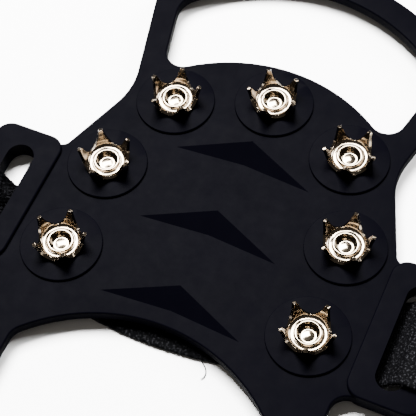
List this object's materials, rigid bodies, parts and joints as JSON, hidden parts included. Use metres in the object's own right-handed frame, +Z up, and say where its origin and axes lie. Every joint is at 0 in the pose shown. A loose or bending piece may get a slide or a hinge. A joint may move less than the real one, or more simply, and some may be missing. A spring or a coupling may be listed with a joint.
{
  "type": "shoe ice cleat",
  "caption": "Slip-on rubber traction cleat with riveted crown studs, flexing toe and heel loops and a hook-and-loop instep strap.",
  "frame": {"origin": "on the floor, under the middle of the strap where it crosses below the forefoot", "axes": "+Z up, the way the studs point as it lies upside down; +Y towards the toe; +X along the strap's long leg"},
  "size_m": [0.3004, 0.266, 0.0125],
  "materials": {
    "rubber": "matte moulded rubber",
    "crown": "bright nickel plate",
    "rivet": "bright nickel plate",
    "washer": "zinc plated",
    "webbing": "coarse black plain-weave webbing",
    "loop": "napped loop pile",
    "hook": "hook tape",
    "thread": "black sewing thread",
    "ring": "satin black plastic"
  },
  "bodies": {
    "forefoot": {"forefoot_plate": "rubber", "strap_under_run": "webbing", "crown_01": "crown", "rivet_01": "rivet", "washer_01": "washer", "crown_02": "crown", "rivet_02": "rivet", "washer_02": "washer", "crown_03": "crown", "rivet_03": "rivet", "washer_03": "washer", "crown_04": "crown", "rivet_04": "rivet", "washer_04": "washer", "crown_05": "crown", "rivet_05": "rivet", "washer_05": "washer", "crown_06": "crown", "rivet_06": "rivet", "washer_06": "washer", "crown_07": "crown", "rivet_07": "rivet", "washer_07": "washer"},
    "toe_loop_body": {"toe_loop": "rubber"},
    "heel": {"heel_plate": "rubber", "crown_08": "crown", "rivet_08": "rivet", "washer_08": "washer", "crown_09": "crown", "rivet_09": "rivet", "washer_09": "washer", "crown_10": "crown", "rivet_10": "rivet", "washer_10": "washer", "crown_11": "crown", "rivet_11": "rivet", "washer_11": "washer", "crown_12": "crown", "rivet_12": "rivet", "washer_12": "washer"},
    "heel_loop_body": {"heel_loop": "rubber"},
    "left_leg": {"strap_leg_left": "webbing", "eye_stitching": "thread"},
    "ring": {"strap_ring": "ring"},
    "right_leg": {"strap_leg_right": "webbing", "loop_patch": "loop", "loop_patch_stitching": "thread"},
    "tail": {"strap_tail": "webbing", "hook_patch": "hook", "hook_patch_stitching": "thread"}
  },
  "joints": [
    {"name": "toe_loop_flex", "type": "hinge", "parent": "forefoot", "child": "toe_loop_body", "pos_m": [0, 0.0784, 0.00405], "axis": [1, 0, 0], "range_deg": [-90, 30], "stiffness_Nm_per_rad": 0.15},
    {"name": "arch_flex", "type": "hinge", "parent": "forefoot", "child": "heel", "pos_m": [0, -0.0376, 0.00405], "axis": [1, 0, 0], "range_deg": [-35, 35], "stiffness_Nm_per_rad": 0.6},
    {"name": "heel_loop_flex", "type": "hinge", "parent": "heel", "child": "heel_loop_body", "pos_m": [0, -0.1216, 0.00405], "axis": [1, 0, 0], "range_deg": [-30, 90], "stiffness_Nm_per_rad": 0.15},
    {"name": "strap_leg_right_fold", "type": "hinge", "parent": "forefoot", "child": "right_leg", "pos_m": [0.071, 0.0096, 0.0077], "axis": [0, -1, 0], "range_deg": [-70, 120]},
    {"name": "strap_leg_left_fold", "type": "hinge", "parent": "forefoot", "child": "left_leg", "pos_m": [-0.071, 0.0048, 0.0077], "axis": [0, 1, 0], "range_deg": [-70, 120]},
    {"name": "strap_ring_pivot", "type": "hinge", "parent": "left_leg", "child": "ring", "pos_m": [-0.115, 0.0048, 0.00298], "axis": [0, 1, 0], "range_deg": [-140, 165]},
    {"name": "strap_tail_fold", "type": "hinge", "parent": "right_leg", "child": "tail", "pos_m": [0.173, 0.0096, 0.00275], "axis": [0, 1, 0], "range_deg": [0, 175]}
  ]
}
